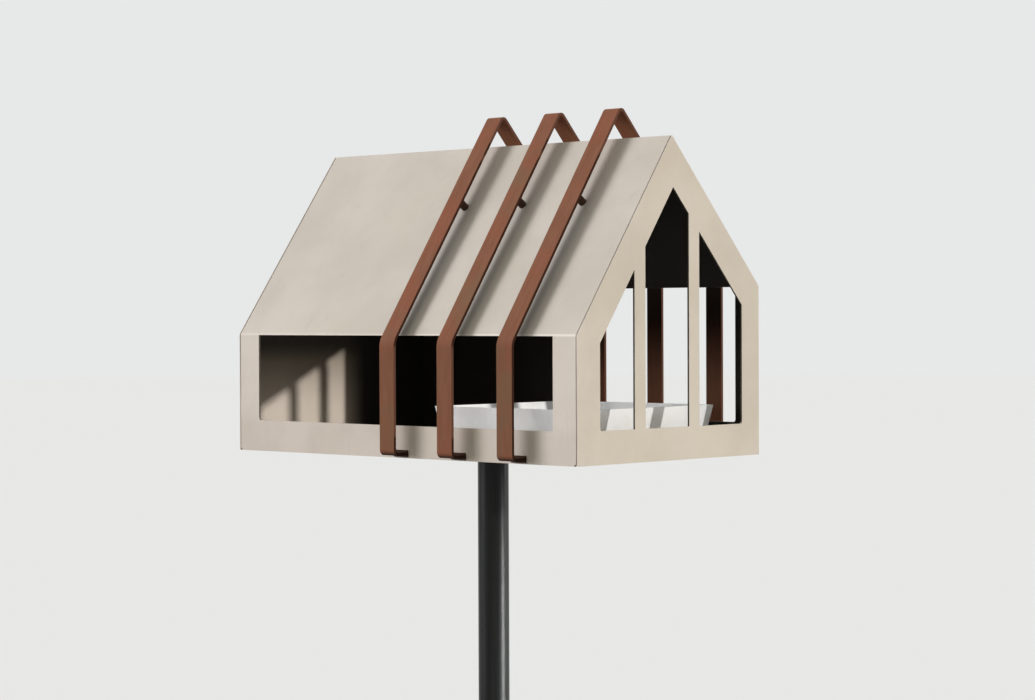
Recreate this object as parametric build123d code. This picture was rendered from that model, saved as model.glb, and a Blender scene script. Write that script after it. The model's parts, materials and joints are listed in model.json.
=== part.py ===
"""A bird feeder: a gabled house of folded sheet steel on a round pole set in the ground.

The origin is the centre of the pole's foot at ground level, with +Z up. The house is centred on
the pole. Its long front faces -Y, and the gable with the window faces +X. Lengths are in
millimetres.
"""

import os
from math import atan2, degrees, hypot

from build123d import *

# House, outside sizes, with heights above the bottom edge of the walls
house_length = 480.0
house_depth = 274.0
front_eave = 122.5
back_eave = 170.0
ridge_height = 315.0
ridge_from_front = 138.5
house_base = 1350.0  # bottom edge of the walls above the ground
sheet = 2.0
eave_bend = 3.0  # inside radius of the fold between wall and roof
seam_groove = 1.0  # bevel round the gable plates, where they meet the folded sheet
relief_radius = 2.2  # notch at the foot of each corner seam

# Front and back openings, from the sill up to the fold at the eave
sill_height = 32.0
front_side_post = 31.0  # at both ends of the front opening
back_side_post = 28.5  # right of the back opening
eave_lip = 1.0  # what the opening leaves of the wall below the eave line
back_opening_from_left = 225.0
opening_radius = 3.0

# Window in the right gable
window_front_margin = 32.0  # from the front wall
window_front_slope_margin = 30.5  # square to the slope
window_back_slope_margin = 33.0
window_back_margin = 27.5
window_radius = 2.5
mullion_width = 16.0
mullion_centres = (90.0, 171.5)  # from the front of the house

# Floor, a pan with upturned edges
floor_flange = 12.0
floor_bend = 1.5  # inside radius
floor_corner_gap = 6.0  # the upturned edges stop this far from the corners

# Straps: flat bars that stand off the house
strap_width = 20.0
strap_thickness = 3.0
strap_pitch = 80.0
last_strap_from_right = 75.0  # its centre, from the right end of the house
front_wall_gap = 17.0  # clear space between strap and wall
back_wall_gap = 21.0
front_eave_gap = 10.0  # the strap rises a little from the front slope towards the ridge
front_ridge_gap = 16.0
back_roof_gap = 20.0
strap_foot_height = 3.0  # underside of the strap's foot above the wall's bottom edge
strap_foot_bend = 3.0  # inside radii
strap_eave_bend = 16.0
strap_ridge_bend = 3.0
strap_weld = 2.0  # fillet weld over and under each foot
peg_diameter = 8.0
peg_from_ridge = 79.0  # along the slope

# Feed tray, loose on the floor
tray_size = 200.0  # square, outside, at the top
tray_height = 48.5
tray_wall = 2.0
tray_flare = 9.0  # how far each side leans out over the tray's height
tray_corner = 3.0
tray_from_centre = (109.0, 4.5)  # its centre, from the middle of the floor

# Pole
pole_diameter = 32.0
pole_wall = 2.0
pole_foot = 6.0  # thickness of its closed foot
head_diameter = 80.0
head_thickness = 4.0
spigot_length = 100.0
spigot_clearance = 0.2
spigot_wall = 2.5

front = -house_depth / 2
back = house_depth / 2
left = -house_length / 2
right = house_length / 2


def moved_sides(path, gaps):
    """The YZ path with its sides moved out; moved sides meet where they cross.

    A gap is one number for a side that stays parallel, or a pair for its start and its end.
    """
    lines = []
    for (y, z), (next_y, next_z), gap in zip(path, path[1:], gaps):
        start_gap, end_gap = gap if isinstance(gap, tuple) else (gap, gap)
        run, rise = next_y - y, next_z - z
        length = hypot(run, rise)
        out_y, out_z = -rise / length, run / length
        turn = end_gap - start_gap
        lines.append(
            (y + out_y * start_gap, z + out_z * start_gap, run + out_y * turn, rise + out_z * turn)
        )
    moved = [lines[0][:2]]
    for (y, z, run, rise), (next_y, next_z, next_run, next_rise) in zip(lines, lines[1:]):
        gone = (next_y - y) * next_rise - (next_z - z) * next_run
        share = gone / (run * next_rise - rise * next_run)
        moved.append((y + share * run, z + share * rise))
    y, z, run, rise = lines[-1]
    return moved + [(y + run, z + rise)]


def profile_along_x(points, radii, x_start, x_end):
    """A closed YZ outline above the house base, one corner radius a point, run along X."""
    outline = FilletPolyline(*[(y, z + house_base) for y, z in points], radius=radii, close=True)
    return extrude(Plane.YZ.offset(x_start) * make_face(outline), amount=x_end - x_start)


# The house in section: its outside over the roof from the front foot to the back foot, then
# the inside of its sheet
outside = [
    (front, 0),
    (front, front_eave),
    (front + ridge_from_front, ridge_height),
    (back, back_eave),
    (back, 0),
]
inside = moved_sides(outside, [-sheet] * 4)


# Walls with their roof slopes


def shell(first, y_wall, eave, opening_start, opening_end):
    """A wall and its roof slope as one folded sheet, cut plumb at the ridge."""
    points = outside[first : first + 3] + inside[first : first + 3][::-1]
    radii = [0, eave_bend + sheet, 0, 0, eave_bend, 0]
    folded = profile_along_x(points, radii, left + sheet, right - sheet)

    opening_top = eave - eave_lip
    cutter = Pos(
        (opening_start + opening_end) / 2,
        y_wall,
        house_base + (sill_height + opening_top) / 2,
    ) * Box(opening_end - opening_start, 4 * sheet, opening_top - sill_height)
    sill_corners = cutter.edges().filter_by(Axis.Y).group_by(Axis.Z)[0]
    folded -= fillet(sill_corners, opening_radius)

    for x in (left + sheet, right - sheet):
        folded -= Pos(x, y_wall, house_base) * Rot(90, 0, 0) * Cylinder(relief_radius, 4 * sheet)
    return folded


front_shell = shell(0, front, front_eave, left + front_side_post, right - front_side_post)
back_shell = shell(2, back, back_eave, left + back_opening_from_left, right - back_side_post)


# Gable plates, which cover the ends of the folded sheets


def gable(x_outer, x_inner):
    """A plate with the outline of the house, bevelled round its inner face but for the foot."""
    outer_bend = eave_bend + sheet
    plate = profile_along_x(
        outside, [0, outer_bend, 0, outer_bend, 0], min(x_outer, x_inner), max(x_outer, x_inner)
    )
    inner_face = plate.faces().filter_by(Axis.X).sort_by(Axis.X)[-1 if x_inner > x_outer else 0]
    return chamfer(inner_face.edges().sort_by(Axis.Z)[1:], seam_groove)


def window_opening():
    """The window's three panes, under edges that run parallel to the roof."""
    margins = [
        window_front_margin,
        window_front_slope_margin,
        window_back_slope_margin,
        window_back_margin,
    ]
    edges = moved_sides(outside, [-margin for margin in margins])
    edges[0] = (edges[0][0], sill_height)
    edges[-1] = (edges[-1][0], sill_height)
    radii = [window_radius, 0, 0, 0, window_radius]
    panes = profile_along_x(edges, radii, right - 2 * sheet, right + sheet)
    for centre in mullion_centres:
        panes -= Pos(right, front + centre, house_base + ridge_height / 2) * Box(
            6 * sheet, mullion_width, ridge_height
        )
    return panes


left_gable = gable(left, left + sheet)
right_gable = gable(right, right - sheet) - window_opening()


# Floor


def floor_pan():
    """A sheet that fills the walls, with its four edges turned up against them."""
    length = house_length - 2 * sheet
    depth = house_depth - 2 * sheet
    low = Pos(0, 0, house_base)
    upright = (Align.CENTER, Align.CENTER, Align.MIN)

    block = Box(length, depth, floor_flange, align=upright)
    block = fillet(block.edges().group_by(Axis.Z)[0], floor_bend + sheet)
    hollow = Box(length - 2 * sheet, depth - 2 * sheet, floor_flange, align=upright)
    hollow = fillet(hollow.edges().group_by(Axis.Z)[0], floor_bend)
    pan = low * (block - Pos(0, 0, sheet) * hollow)
    for x in (-length / 2, length / 2):
        for y in (-depth / 2, depth / 2):
            pan -= low * Pos(x, y, 0) * Box(
                2 * floor_corner_gap, 2 * floor_corner_gap, 2 * floor_flange
            )
    return pan


# Straps and their pegs


def strap(x_centre):
    """A flat bar up the front, over the ridge and down the back, its feet welded to both walls."""
    gaps = [front_wall_gap, (front_eave_gap, front_ridge_gap), back_roof_gap, back_wall_gap]
    under = moved_sides(outside, gaps)
    over = moved_sides(under, [strap_thickness] * 4)
    foot_low, foot_high = strap_foot_height, strap_foot_height + strap_thickness

    outer = [(front, foot_low - strap_weld), (front - strap_weld, foot_low)]
    outer += [(over[0][0], foot_low)] + over[1:4] + [(over[-1][0], foot_low)]
    outer += [(back + strap_weld, foot_low), (back, foot_low - strap_weld)]
    inner = [(back, foot_high + strap_weld), (back + strap_weld, foot_high)]
    inner += [(under[-1][0], foot_high)] + under[3:0:-1] + [(under[0][0], foot_high)]
    inner += [(front - strap_weld, foot_high), (front, foot_high + strap_weld)]
    bends = [strap_foot_bend, strap_eave_bend, strap_ridge_bend, strap_eave_bend, strap_foot_bend]
    outer_bends = [bend + strap_thickness for bend in bends]
    radii = [0, 0] + outer_bends + [0] * 4 + bends[::-1] + [0, 0]
    return profile_along_x(
        outer + inner, radii, x_centre - strap_width / 2, x_centre + strap_width / 2
    )


def peg(x_centre, slope, eave_gap, ridge_gap, strap_above):
    """A round stand-off, square to a roof slope of the section, up to the strap above it."""
    (y, z), (next_y, next_z) = outside[slope], outside[slope + 1]
    ridge_y, ridge_z = outside[2]
    from_ridge = peg_from_ridge / hypot(next_y - y, next_z - z)
    eave_y, eave_z = (y, z) if slope == 1 else (next_y, next_z)
    foot = Pos(
        x_centre,
        ridge_y + from_ridge * (eave_y - ridge_y),
        house_base + ridge_z + from_ridge * (eave_z - ridge_z),
    )
    lean = degrees(atan2(next_z - z, next_y - y))
    upright = (Align.CENTER, Align.CENTER, Align.MIN)
    into_strap = ridge_gap + from_ridge * (eave_gap - ridge_gap) + strap_thickness / 2
    body = Cylinder(peg_diameter / 2, into_strap, align=upright)
    return foot * Rot(lean, 0, 0) * body - strap_above


# Feed tray


def tray_section(size, z):
    return Pos(0, 0, z) * RectangleRounded(size, size, tray_corner)


def tray():
    """A square dish with leaning sides, on the floor of the house."""
    base_size = tray_size - 2 * tray_flare
    lean = 2 * tray_flare / tray_height  # growth in size for each millimetre of height
    outer = loft([tray_section(base_size, 0), tray_section(tray_size, tray_height)])
    hollow_base = base_size + lean * tray_wall - 2 * tray_wall
    hollow = loft(
        [
            tray_section(hollow_base, tray_wall),
            tray_section(hollow_base + lean * tray_height, tray_wall + tray_height),
        ]
    )
    x, y = tray_from_centre
    return Pos(x, y, house_base + sheet) * (outer - hollow)


# Pole


def tube(outer_diameter, wall, low, high):
    """An upright tube on the pole's centre line."""
    upright = (Align.CENTER, Align.CENTER, Align.MIN)
    solid = Cylinder(outer_diameter / 2, high - low, align=upright)
    bore = Cylinder(outer_diameter / 2 - wall, high - low, align=upright)
    return Pos(0, 0, low) * (solid - bore)


pole_top = house_base - head_thickness


def pole():
    """The pole, with a closed foot at ground level."""
    upright = (Align.CENTER, Align.CENTER, Align.MIN)
    return tube(pole_diameter, pole_wall, 0, pole_top) + Cylinder(
        pole_diameter / 2, pole_foot, align=upright
    )


def head():
    """The round plate under the floor, with the spigot that stands in the pole."""
    upright = (Align.CENTER, Align.CENTER, Align.MIN)
    plate = Pos(0, 0, pole_top) * Cylinder(head_diameter / 2, head_thickness, align=upright)
    spigot_diameter = pole_diameter - 2 * pole_wall - 2 * spigot_clearance
    return plate + tube(spigot_diameter, spigot_wall, pole_top - spigot_length, pole_top)


pieces = {
    "pole": pole(),
    "pole_head": head(),
    "floor": floor_pan(),
    "front_shell": front_shell,
    "back_shell": back_shell,
    "left_gable": left_gable,
    "right_gable": right_gable,
    "feed_tray": tray(),
}
for place, name in enumerate(("right", "middle", "left")):
    x_centre = right - last_strap_from_right - place * strap_pitch
    bar = strap(x_centre)
    pieces[f"strap_{name}"] = bar
    pieces[f"front_peg_{name}"] = peg(x_centre, 1, front_eave_gap, front_ridge_gap, bar)
    pieces[f"back_peg_{name}"] = peg(x_centre, 2, back_roof_gap, back_roof_gap, bar)

os.makedirs("parts", exist_ok=True)
for name, shape in pieces.items():
    export_step(shape, f"parts/{name}.step")
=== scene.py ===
"""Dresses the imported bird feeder: paints, camera, lights, and a plain floor and surround."""

import json
import math

import bpy
from mathutils import Matrix, Vector

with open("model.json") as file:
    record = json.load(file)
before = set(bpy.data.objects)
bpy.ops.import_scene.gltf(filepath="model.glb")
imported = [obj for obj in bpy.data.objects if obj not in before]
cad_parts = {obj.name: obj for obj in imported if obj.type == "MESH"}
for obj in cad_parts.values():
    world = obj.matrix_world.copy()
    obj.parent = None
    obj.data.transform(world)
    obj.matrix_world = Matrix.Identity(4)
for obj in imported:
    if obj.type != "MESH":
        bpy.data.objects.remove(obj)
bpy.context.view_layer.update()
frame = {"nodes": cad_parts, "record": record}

scene = bpy.context.scene
scene.view_settings.view_transform = "Standard"
nodes = frame["nodes"]


# Node materials

MIX_FACTOR, MIX_FIRST, MIX_SECOND, MIX_RESULT = 0, 6, 7, 2  # a Mix node's sockets for colours
RISE, FALL = (0.0, 1.0), (1.0, 0.0)
MIDDLE = (0.3, 0.7)  # the range in which most of a noise lies

# Ranges of one part of a face's normal, from -1 to 1
ROOF_SLOPE = (0.35, 0.55)
LONG_WALL = (0.90, 0.97)
GABLE_SIDE = (0.7, 0.9)

# Ranges of place, in metres of the row frame. The house stands on z = 1.35.
SILL_TOP = (1.374, 1.392)
WINDOW_EDGE = (0.112, 0.116)
BAR_FOOT_TOP = (1.3535, 1.3570)
BAR_LEDGE_TOP = (1.3585, 1.3605)
BAR_LEDGE_EDGE = (0.1525, 0.1545)


class Shader:
    """A node material on object coordinates, which are the row frame in metres.

    A mask runs from 0 to 1. Each coat covers the colours before it inside its mask.
    """

    def __init__(self, name, colour=None):
        self.material = bpy.data.materials.new(name)
        self.material.use_nodes = True
        self.tree = self.material.node_tree
        self.tree.nodes.clear()
        self.output = self.tree.nodes.new("ShaderNodeOutputMaterial")
        self.colour = colour
        coordinates = self.tree.nodes.new("ShaderNodeTexCoord")
        self.place = coordinates.outputs["Object"]
        self.x, self.y, self.z = self.parts(self.place)
        self.facing_x, self.facing_y, self.facing_z = self.parts(coordinates.outputs["Normal"])

    def link(self, source, target):
        """Joins an output to a socket, or sets a number or a colour on the socket itself."""
        if isinstance(source, (int, float)):
            target.default_value = source
        elif isinstance(source, tuple):
            target.default_value = (*source, 1.0)
        else:
            self.tree.links.new(source, target)

    def parts(self, vector):
        node = self.tree.nodes.new("ShaderNodeSeparateXYZ")
        self.link(vector, node.inputs[0])
        return [node.outputs[name] for name in "XYZ"]

    def math(self, operation, first, second=0.0):
        node = self.tree.nodes.new("ShaderNodeMath")
        node.operation = operation
        self.link(first, node.inputs[0])
        self.link(second, node.inputs[1])
        return node.outputs[0]

    def times(self, first, second):
        """A product, which for two masks is where both cover."""
        return self.math("MULTIPLY", first, second)

    def either_way(self, value):
        return self.math("ABSOLUTE", value)

    def spread(self, value, span, to=RISE):
        """The value, carried smoothly from one range to another and held at the ends."""
        node = self.tree.nodes.new("ShaderNodeMapRange")
        node.interpolation_type = "SMOOTHSTEP"
        self.link(value, node.inputs["Value"])
        for name, number in zip(("From Min", "From Max", "To Min", "To Max"), (*span, *to)):
            node.inputs[name].default_value = number
        return node.outputs["Result"]

    def noise(self, scale, detail=3.0, roughness=0.5, stretch=None, distortion=0.0):
        node = self.tree.nodes.new("ShaderNodeTexNoise")
        place = self.place
        if stretch:
            stretched = self.tree.nodes.new("ShaderNodeVectorMath")
            stretched.operation = "MULTIPLY"
            self.link(place, stretched.inputs[0])
            stretched.inputs[1].default_value = stretch
            place = stretched.outputs[0]
        self.link(place, node.inputs["Vector"])
        node.inputs["Scale"].default_value = scale
        node.inputs["Detail"].default_value = detail
        node.inputs["Roughness"].default_value = roughness
        node.inputs["Distortion"].default_value = distortion
        return node.outputs["Fac"]

    def patches(self, scale, span, to=RISE, **kind):
        """A noise, spread from one range to another."""
        return self.spread(self.noise(scale, **kind), span, to)

    def coat(self, mask, colour, strength=None, blend="MIX"):
        """Lays a colour over the ones before, inside a mask."""
        node = self.tree.nodes.new("ShaderNodeMix")
        node.data_type, node.blend_type = "RGBA", blend
        self.link(self.times(mask, strength) if strength else mask, node.inputs[MIX_FACTOR])
        self.link(self.colour, node.inputs[MIX_FIRST])
        self.link(colour, node.inputs[MIX_SECOND])
        self.colour = node.outputs[MIX_RESULT]

    def finish(self, roughness, relief, depth, strength, **constants):
        """Ends a paint: its roughness, a relief of a depth in metres, and plain socket values."""
        bump = self.tree.nodes.new("ShaderNodeBump")
        bump.inputs["Strength"].default_value = strength
        bump.inputs["Distance"].default_value = depth
        self.link(relief, bump.inputs["Height"])
        surface = self.tree.nodes.new("ShaderNodeBsdfPrincipled")
        self.link(self.colour, surface.inputs["Base Color"])
        self.link(roughness, surface.inputs["Roughness"])
        self.link(bump.outputs["Normal"], surface.inputs["Normal"])
        for name, value in constants.items():
            surface.inputs[name.replace("_", " ")].default_value = value
        self.link(surface.outputs["BSDF"], self.output.inputs["Surface"])
        return self.material


def house_paint(name, inner_side=None, inner_colour=None, window=False, shaded=False):
    """Warm grey satin paint on sheet, faintly clouded, with fine orange peel.

    A folded sheet has a colour of its own on its inner side, which is +1 where it faces +Y and
    -1 where it faces -Y; where that colour is dark it is painted shade. It has a painted highlight
    along its bend at the eave, and painted shade on the edges at the ends of its opening. The
    plate with the window is darker outside and on its reveals, which is painted shade. A shaded
    plate has painted shade on its inner side under the roof, nearly black towards the back, as the
    photo shows it.
    """
    s = Shader(name, (0.599, 0.526, 0.466))
    s.coat(s.patches(8.0, (0.35, 0.65), detail=4.0, roughness=0.6), (0.670, 0.597, 0.539))
    warm = s.patches(11.0, (0.42, 0.68), stretch=(1.0, 1.0, 0.45))
    s.coat(warm, (0.644, 0.564, 0.470), strength=0.35)
    rubbed = s.patches(
        60.0, (0.56, 0.74), detail=5.0, roughness=0.62, stretch=(1.0, 1.0, 0.3), distortion=0.4
    )
    s.coat(rubbed, (0.475, 0.418, 0.374), strength=0.20)
    grain = s.patches(900.0, (0.35, 0.65), (0.0, 0.06), detail=2.0)
    s.coat(grain, (0.444, 0.386, 0.353))

    # Painted shade: the roof slopes darker, to even out the stronger light on them.
    s.coat(s.spread(s.facing_z, ROOF_SLOPE), (0.80, 0.814, 0.813), blend="MULTIPLY")
    long_wall = s.spread(s.either_way(s.facing_y), LONG_WALL)
    sill = s.times(long_wall, s.spread(s.z, SILL_TOP, FALL))
    s.coat(sill, (0.94, 0.93, 0.915), blend="MULTIPLY")

    roughness = s.patches(35.0, MIDDLE, (0.52, 0.60))
    if inner_side:
        # Painted highlight along the rounded bend at the eave, stronger towards the right.
        eave_highlight = s.times(
            s.spread(s.facing_z, (0.03, 0.15)), s.spread(s.facing_z, (0.40, 0.54), FALL)
        )
        highlight_rightward = s.spread(s.x, (-0.05, 0.20), (0.05, 0.6))
        s.coat(s.times(eave_highlight, highlight_rightward), (0.82, 0.77, 0.70))
        # The inner side's own colour; where it is dark, it is painted shade.
        inner = s.spread(s.times(s.facing_y, inner_side), (0.3, 0.6))
        s.coat(inner, inner_colour)
        # Painted shade: dark edges at the ends of the opening.
        end = s.spread(s.either_way(s.facing_x), GABLE_SIDE)
        s.coat(s.times(end, s.spread(s.facing_z, (-0.1, 0.1), FALL)), (0.075, 0.052, 0.038))
        roughness = s.math("MAXIMUM", roughness, inner)
    if window:
        # Painted shade: the window plate darker outside, and its reveals nearly black.
        s.coat(s.spread(s.facing_x, GABLE_SIDE), (0.812, 0.816, 0.786), blend="MULTIPLY")
        edge = s.spread(s.either_way(s.facing_x), (0.2, 0.5), FALL)
        within = s.spread(s.either_way(s.y), WINDOW_EDGE, FALL)
        not_upward = s.spread(s.facing_z, (0.3, 0.4), FALL)
        s.coat(s.times(s.times(edge, within), not_upward), (0.048, 0.036, 0.026))
    if shaded:
        # Painted shade on the inner side: darker higher up under the roof, nearly black at the
        # back.
        inside = s.spread(s.facing_x, (0.4, 0.7))
        high = s.spread(s.z, (1.385, 1.465), (0.15, 1.0))
        s.coat(s.times(inside, high), (0.322, 0.297, 0.253), blend="MULTIPLY")
        highest = s.spread(s.z, (1.438, 1.464))
        s.coat(s.times(inside, highest), (0.26, 0.26, 0.26), blend="MULTIPLY")
        far = s.spread(s.y, (0.008, 0.045))
        s.coat(s.times(inside, far), (0.012, 0.010, 0.008))

    peel = s.noise(420.0, detail=2.0, roughness=0.4)
    return s.finish(roughness, peel, depth=0.0002, strength=0.2, Specular_IOR_Level=0.35)


def strap_paint():
    """Copper-brown satin paint on flat bar, blotched, with painted shade on its narrow sides.

    It has painted shade, nearly black, on the side that faces the house, and at its feet.
    """
    s = Shader("strap_brown", (0.194, 0.081, 0.0475))
    streak = s.patches(240.0, (0.36, 0.66), roughness=0.55, stretch=(1.0, 0.12, 0.12))
    s.coat(streak, (0.220, 0.094, 0.055))
    red = s.patches(17.0, (0.44, 0.62), detail=4.0, roughness=0.6, distortion=0.5)
    s.coat(red, (0.235, 0.0825, 0.0475), strength=0.7)
    olive = s.patches(13.0, (0.50, 0.64), detail=4.0, roughness=0.6, stretch=(1.3, 1.0, 0.8))
    s.coat(olive, (0.1775, 0.099, 0.056), strength=0.75)
    speck = s.patches(420.0, (0.62, 0.75), roughness=0.7)
    s.coat(speck, (0.325, 0.1625, 0.106), strength=0.25)
    # Painted shade: the bar's narrow sides darker.
    s.coat(s.spread(s.either_way(s.facing_x), (0.6, 0.9)), (0.096, 0.041, 0.026))

    # Painted shade, nearly black, on the side that faces the house below the ridge, deeper higher
    # up.
    outward = s.times(s.facing_y, s.math("SIGN", s.y))
    below_ridge = s.spread(s.z, (1.60, 1.64), FALL)
    house_side_shade = s.times(s.spread(outward, (-0.5, -0.2), FALL), below_ridge)
    s.coat(s.times(house_side_shade, s.spread(s.z, (1.41, 1.50), (0.31, 0.98))), (0.006, 0.004, 0.003))
    # Painted shade, nearly black, at the feet and on the ledges that reach the wall.
    foot = s.spread(s.z, BAR_FOOT_TOP, FALL)
    ledge = s.times(
        s.spread(s.either_way(s.y), BAR_LEDGE_EDGE, FALL), s.spread(s.z, BAR_LEDGE_TOP, FALL)
    )
    s.coat(s.math("MAXIMUM", foot, ledge), (0.022, 0.010, 0.006), strength=0.9)

    roughness = s.patches(60.0, MIDDLE, (0.52, 0.64))
    peel = s.noise(600.0, detail=2.0)
    return s.finish(roughness, peel, depth=0.0002, strength=0.2, Specular_IOR_Level=0.04)


def peg_paint():
    """Dark brown satin paint on the round stand-offs, darker than the bars as painted shade."""
    s = Shader("peg_dark", (0.056, 0.025, 0.015))
    s.coat(s.patches(300.0, (0.4, 0.65)), (0.0875, 0.0375, 0.021))
    roughness = s.patches(200.0, MIDDLE, (0.5, 0.65))
    peel = s.noise(700.0, detail=2.0)
    return s.finish(roughness, peel, depth=0.0002, strength=0.2, Specular_IOR_Level=0.25)


def tray_white():
    """Cool white smooth finish with faint stains on its floor and small scratches; its blue tint
    is partly painted skylight.
    """
    # Its blue is partly painted skylight.
    s = Shader("tray_white", (0.92, 0.94, 1.0))
    s.coat(s.patches(9.0, (0.35, 0.7), detail=4.0, roughness=0.6), (0.945, 0.96, 1.0))
    stain = s.patches(45.0, (0.58, 0.75), detail=6.0, roughness=0.7)
    low = s.spread(s.z, (1.354, 1.372), FALL)
    s.coat(s.times(stain, low), (0.48, 0.44, 0.36), strength=0.4)
    scratch = s.patches(300.0, (0.62, 0.7), detail=2.0, stretch=(0.15, 1.0, 1.0))
    roughness = s.math("ADD", s.patches(30.0, MIDDLE, (0.24, 0.34)), s.times(scratch, 0.15))
    return s.finish(
        roughness,
        s.noise(160.0, detail=2.0),
        depth=0.0002,
        strength=0.12,
        Subsurface_Weight=0.5,
        Subsurface_Scale=0.012,
        Subsurface_Radius=(1.0, 1.0, 1.0),
    )


def pole_black():
    """Near-black satin paint on tube, lightly streaked, with rubbed marks and dust low down."""
    s = Shader("pole_black", (0.007, 0.008, 0.008))
    streak = s.noise(130.0, detail=4.0, roughness=0.6, stretch=(1.0, 1.0, 0.05))
    s.coat(s.spread(streak, (0.38, 0.68)), (0.014, 0.014, 0.013))
    low = s.spread(s.z, (0.0, 0.35), FALL)
    dust = s.times(low, s.patches(40.0, (0.4, 0.7), detail=5.0, roughness=0.6))
    s.coat(dust, (0.12, 0.10, 0.08), strength=0.35)
    rub = s.patches(210.0, (0.66, 0.72), detail=4.0, roughness=0.7, stretch=(1.0, 1.0, 0.35))
    s.coat(rub, (0.13, 0.12, 0.11), strength=0.30)
    roughness = s.spread(streak, MIDDLE, (0.29, 0.33))
    peel = s.noise(900.0, detail=2.0)
    return s.finish(roughness, peel, depth=0.0001, strength=0.02, Specular_IOR_Level=0.15)


# The dark inner colour is painted shade; the pale one is the paint.
PALE_INSIDE, PAINTED_SHADE_INSIDE = (0.50, 0.45, 0.40), (0.015, 0.0125, 0.010)
slots = {
    "house_paint": house_paint("house_paint"),
    "strap_brown": strap_paint(),
    "peg_dark": peg_paint(),
    "tray_white": tray_white(),
    "pole_black": pole_black(),
}
own_paint = {
    "front_shell": house_paint("house_paint_front", inner_side=1, inner_colour=PALE_INSIDE),
    "back_shell": house_paint("house_paint_back", inner_side=-1, inner_colour=PAINTED_SHADE_INSIDE),
    "left_gable": house_paint("house_paint_left", shaded=True),
    "right_gable": house_paint("house_paint_window", window=True),
}
for entry in frame["record"]["subparts"]:
    mesh = nodes[entry["node"]].data
    mesh.materials.clear()
    mesh.materials.append(own_paint.get(entry["node"]) or slots[entry["material_slot"]])


# Camera, fitted to the corners of the house in the photograph

SENSOR_MM, LENS_MM = 36.0, 88.28
NEAREST, FARTHEST = 0.05, 200.0
EYE = (1.8143, -1.8940, 1.4915)
YAW, PITCH, ROLL = (math.radians(degrees) for degrees in (133.21, -0.79, -0.218))

camera_data = bpy.data.cameras.new("camera")
camera_data.sensor_width, camera_data.lens = SENSOR_MM, LENS_MM
camera_data.clip_start, camera_data.clip_end = NEAREST, FARTHEST
camera = bpy.data.objects.new("camera", camera_data)
scene.collection.objects.link(camera)
forward = Vector(
    (math.cos(PITCH) * math.cos(YAW), math.cos(PITCH) * math.sin(YAW), math.sin(PITCH))
)
level = forward.cross(Vector((0, 0, 1))).normalized()
upright = level.cross(forward)
rightward = level * math.cos(ROLL) + upright * math.sin(ROLL)
upward = upright * math.cos(ROLL) - level * math.sin(ROLL)
turn = Matrix((rightward, upward, -forward)).transposed().to_4x4()
camera.matrix_world = Matrix.Translation(EYE) @ turn
scene.camera = camera


# Light: a soft key from the front left, a low hard sun from the right behind, a low fill on the
# front, a wide sky, three panels that only the pole mirrors well, and a pale surround


def hang(name, lamp, direction):
    """An object for a lamp, which shines along a direction."""
    holder = bpy.data.objects.new(name, lamp)
    scene.collection.objects.link(holder)
    holder.rotation_mode = "QUATERNION"
    holder.rotation_quaternion = direction.to_track_quat("-Z", "Y")
    return holder


def sun(name, direction, strength, disc_degrees, colour):
    lamp = bpy.data.lights.new(name, "SUN")
    lamp.energy, lamp.angle, lamp.color = strength, math.radians(disc_degrees), colour
    hang(name, lamp, Vector(direction))


def panel(name, place, aim, size, watts, beam):
    """A rectangular lamp that faces a point. Its beam, in degrees, keeps off house and floor."""
    lamp = bpy.data.lights.new(name, "AREA")
    lamp.shape, lamp.energy, lamp.spread = "RECTANGLE", watts, math.radians(beam)
    lamp.size, lamp.size_y = size
    holder = hang(name, lamp, Vector(aim) - Vector(place))
    holder.location = place
    holder.visible_camera = False


sun("key", (1.15, 1.0, -1.1), strength=1.24, disc_degrees=20.0, colour=(1.0, 0.985, 1.0))
sun("side", (-1.0, -0.551, -0.283), strength=2.7, disc_degrees=1.5, colour=(1.0, 0.965, 0.90))
sun("front_fill", (0.82, 1.0, -0.13), strength=1.52, disc_degrees=32.0, colour=(0.985, 0.99, 1.02))
sun("sky", (0.0, 0.3, -1.0), strength=1.02, disc_degrees=110.0, colour=(1.0, 1.0, 1.0))
panel("strip", (1.082, 0.519, 0.93), (0.0, 0.0, 0.945), size=(0.11, 0.5), watts=0.52, beam=16.0)
panel("glow", (1.188, 0.167, 0.93), (0.0, 0.0, 0.93), size=(0.42, 0.42), watts=0.20, beam=40.0)
panel("band", (1.5, 2.6, 0.98), (0.0, 0.0, 1.0), size=(1.3, 0.6), watts=0.46, beam=40.0)

PALE = (0.80, 0.81, 0.81, 1.0)
AMBIENT, AMBIENT_STRENGTH = (1.0, 1.0, 0.80, 1.0), 0.28


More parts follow.
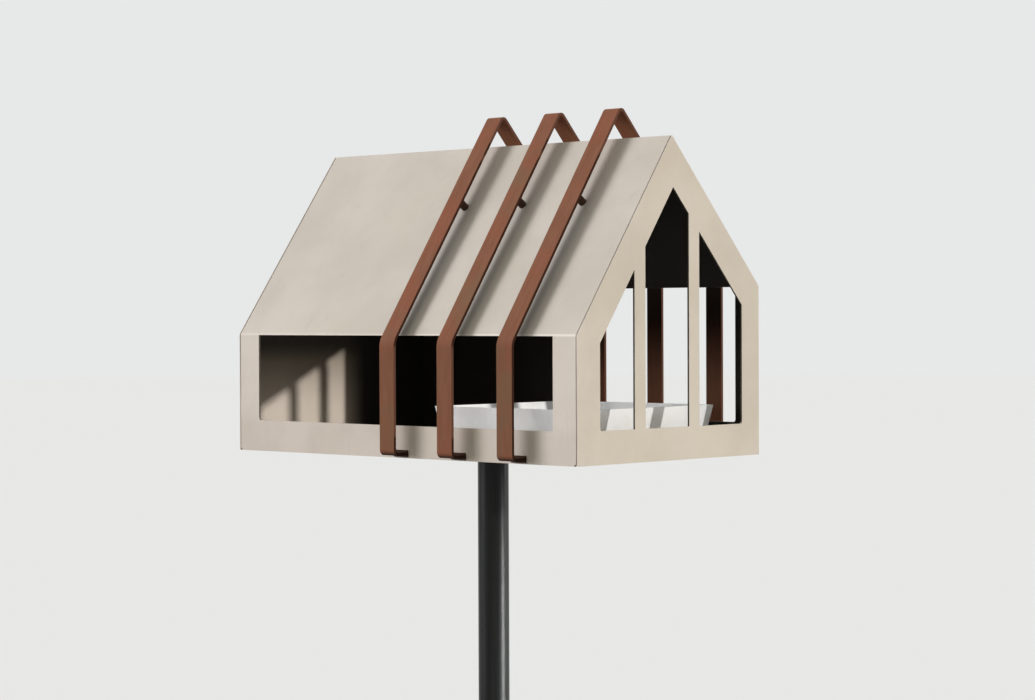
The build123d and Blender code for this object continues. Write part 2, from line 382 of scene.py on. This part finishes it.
def seen_directly(tree):
    """1 for camera, glossy and transmission rays, 0 for the rays that light the object."""
    path = tree.nodes.new("ShaderNodeLightPath")
    total = path.outputs["Is Camera Ray"]
    for name in ("Is Glossy Ray", "Is Transmission Ray"):
        node = tree.nodes.new("ShaderNodeMath")
        node.operation, node.use_clamp = "ADD", True
        tree.links.new(total, node.inputs[0])
        tree.links.new(path.outputs[name], node.inputs[1])
        total = node.outputs[0]
    return total


def background(tree, colour, strength):
    node = tree.nodes.new("ShaderNodeBackground")
    node.inputs["Color"].default_value = colour
    node.inputs["Strength"].default_value = strength
    return node.outputs[0]


scene.world = bpy.data.worlds.new("surround")
scene.world.use_nodes = True
tree = scene.world.node_tree
tree.nodes.clear()
chosen = tree.nodes.new("ShaderNodeMixShader")
tree.links.new(seen_directly(tree), chosen.inputs[0])
tree.links.new(background(tree, AMBIENT, AMBIENT_STRENGTH), chosen.inputs[1])
tree.links.new(background(tree, PALE, 1.0), chosen.inputs[2])
surround = tree.nodes.new("ShaderNodeOutputWorld")
tree.links.new(chosen.outputs[0], surround.inputs["Surface"])


# Floor at ground level

FLOOR_RADIUS, FLOOR_SIDES = 60.0, 96
FLOOR_DROP = 0.0005  # keeps it from lying in one plane with the pole's foot
FLOOR_GREY, FLOOR_GLOW = (0.22, 0.22, 0.22, 1.0), 0.703


def floor_material():
    """A pale floor that keeps shadows: part diffuse, part a glow that only the camera sees."""
    s = Shader("floor_pale")
    diffuse = s.tree.nodes.new("ShaderNodeBsdfDiffuse")
    diffuse.inputs["Color"].default_value = FLOOR_GREY
    glow = s.tree.nodes.new("ShaderNodeEmission")
    glow.inputs["Color"].default_value = PALE
    s.link(s.times(seen_directly(s.tree), FLOOR_GLOW), glow.inputs["Strength"])
    added = s.tree.nodes.new("ShaderNodeAddShader")
    s.link(diffuse.outputs[0], added.inputs[0])
    s.link(glow.outputs[0], added.inputs[1])
    s.link(added.outputs[0], s.output.inputs["Surface"])
    return s.material


angles = [2 * math.pi * i / FLOOR_SIDES for i in range(FLOOR_SIDES)]
ring = [(FLOOR_RADIUS * math.cos(a), FLOOR_RADIUS * math.sin(a), 0.0) for a in angles]
disc = bpy.data.meshes.new("floor_plane")
disc.from_pydata(ring, [], [list(range(FLOOR_SIDES))])
disc.materials.append(floor_material())
floor = bpy.data.objects.new("floor_plane", disc)
floor.location.z = -FLOOR_DROP
scene.collection.objects.link(floor)
